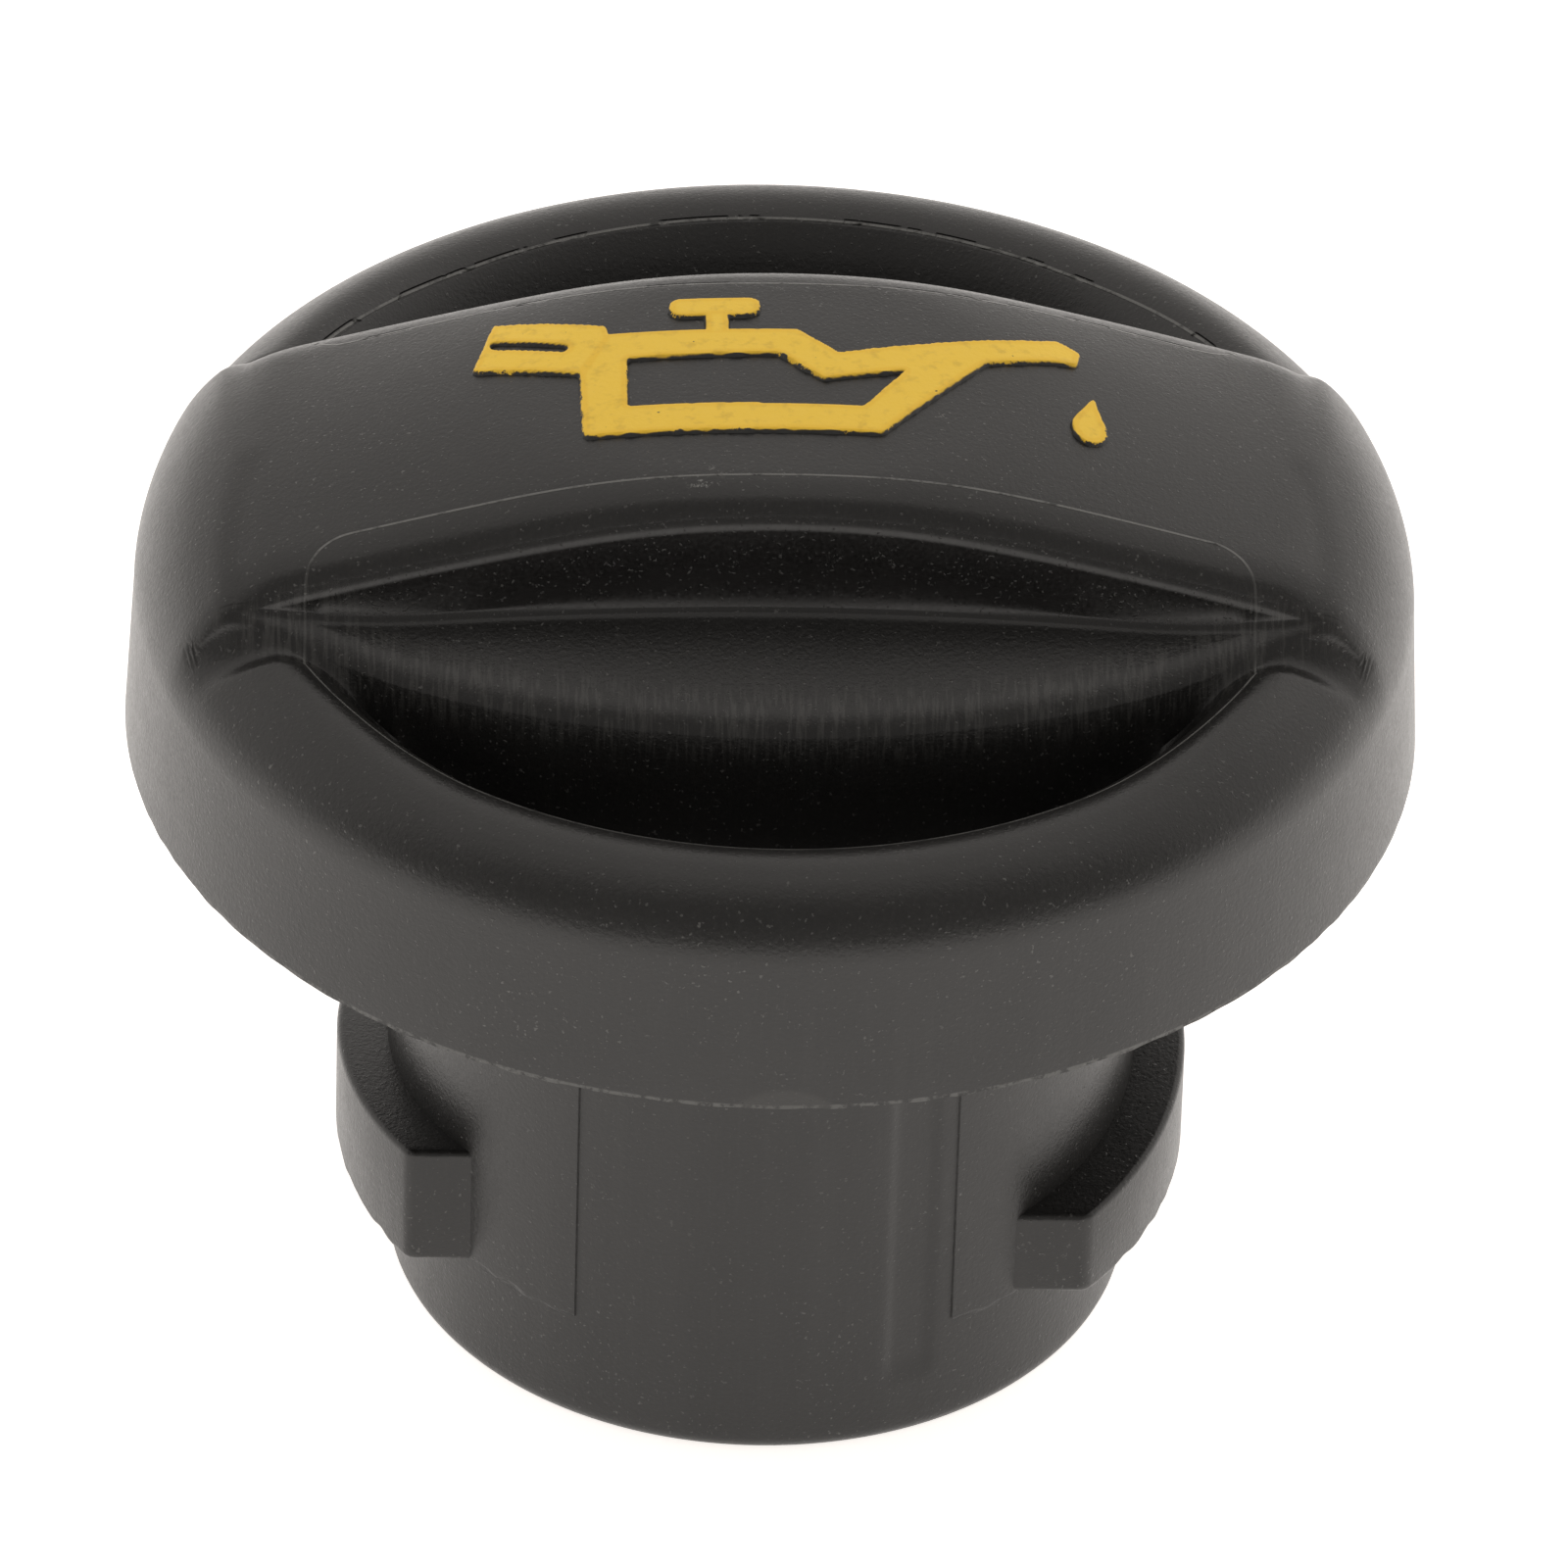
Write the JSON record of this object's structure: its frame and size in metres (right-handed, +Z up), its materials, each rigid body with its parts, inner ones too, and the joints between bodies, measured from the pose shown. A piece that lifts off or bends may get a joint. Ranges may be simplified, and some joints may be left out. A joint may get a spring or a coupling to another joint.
{
  "type": "oil filler cap",
  "caption": "Round black oil filler cap with a bar grip between crescent finger scoops, a raised yellow oil can mark, and a hollow neck with bayonet lugs below.",
  "frame": {"origin": "centre of the neck's foot, the plane that the cap stands on", "axes": "+Z up along the neck to the bar grip; the bar runs along X; each lug's lower leading end faces -Y on the +X side and +Y on the -X side"},
  "size_m": [0.065, 0.065, 0.0539],
  "materials": {
    "black_plastic": "fine matte black moulded plastic with light specks",
    "seal_rubber": "smooth black rubber",
    "mark_yellow": "satin yellow colour on a raised mark, a little ragged at its edges"
  },
  "bodies": {
    "root": {"cap_body": "black_plastic", "seal_ring": "seal_rubber", "oil_can_mark": "mark_yellow", "oil_drop_mark": "mark_yellow"}
  },
  "joints": []
}
